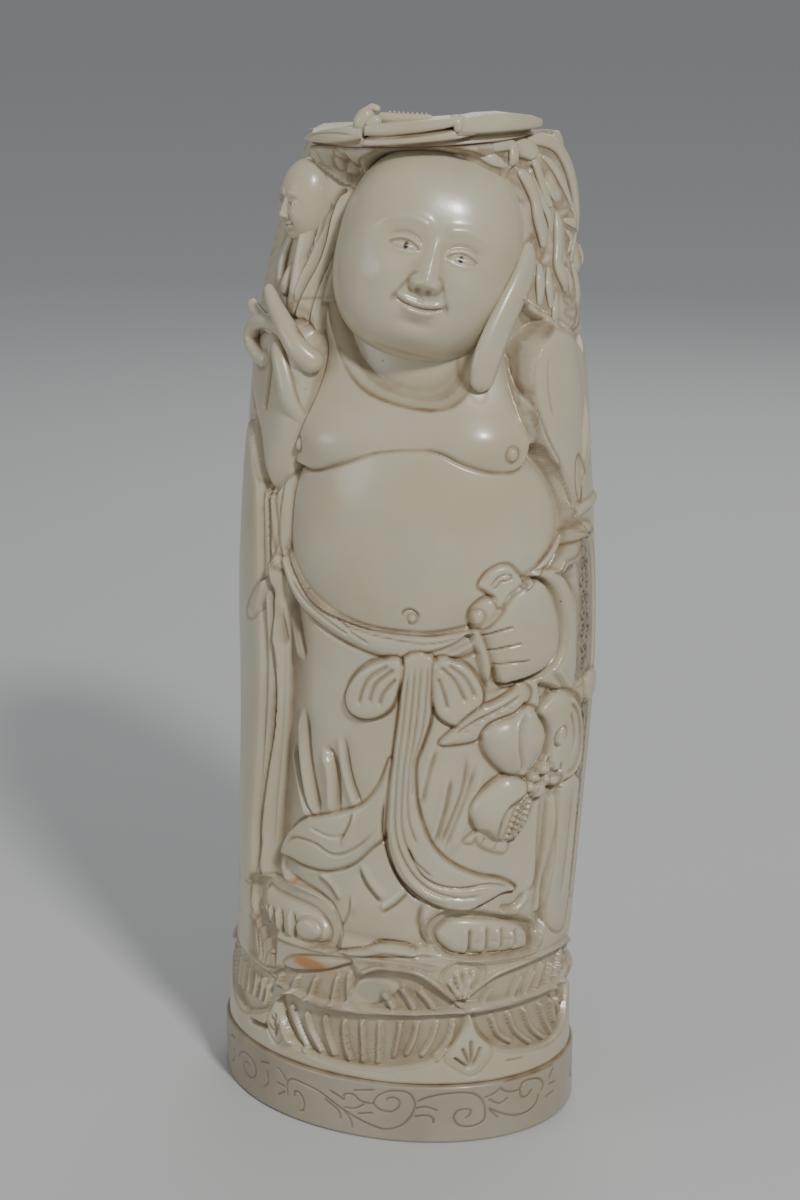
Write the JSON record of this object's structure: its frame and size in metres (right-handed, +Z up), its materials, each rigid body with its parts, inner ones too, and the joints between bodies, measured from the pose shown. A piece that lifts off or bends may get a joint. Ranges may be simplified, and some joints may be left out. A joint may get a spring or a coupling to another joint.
{
  "type": "carved hotei figure",
  "caption": "Standing carved hotei figure from one oval tusk section, on a lotus base, with a leaf-carved top cap and an engraved oval plinth",
  "frame": {"origin": "On the flat underside of the plinth, near its middle, where the figure stands", "axes": "+Z up along the tusk, the figure's face looks along -Y, +X is on the viewer's right from the front"},
  "size_m": [0.1012, 0.0901, 0.2729],
  "materials": {
    "carved_ivory": "polished warm ivory with brown patina in the cuts",
    "cap_ivory": "polished yellowed ivory with brown patina in the cuts",
    "plinth_ivory": "satin pale ivory, engraved and darkened"
  },
  "bodies": {
    "root": {"hotei_figure": "carved_ivory", "top_cap": "cap_ivory", "plinth": "plinth_ivory"}
  },
  "joints": []
}
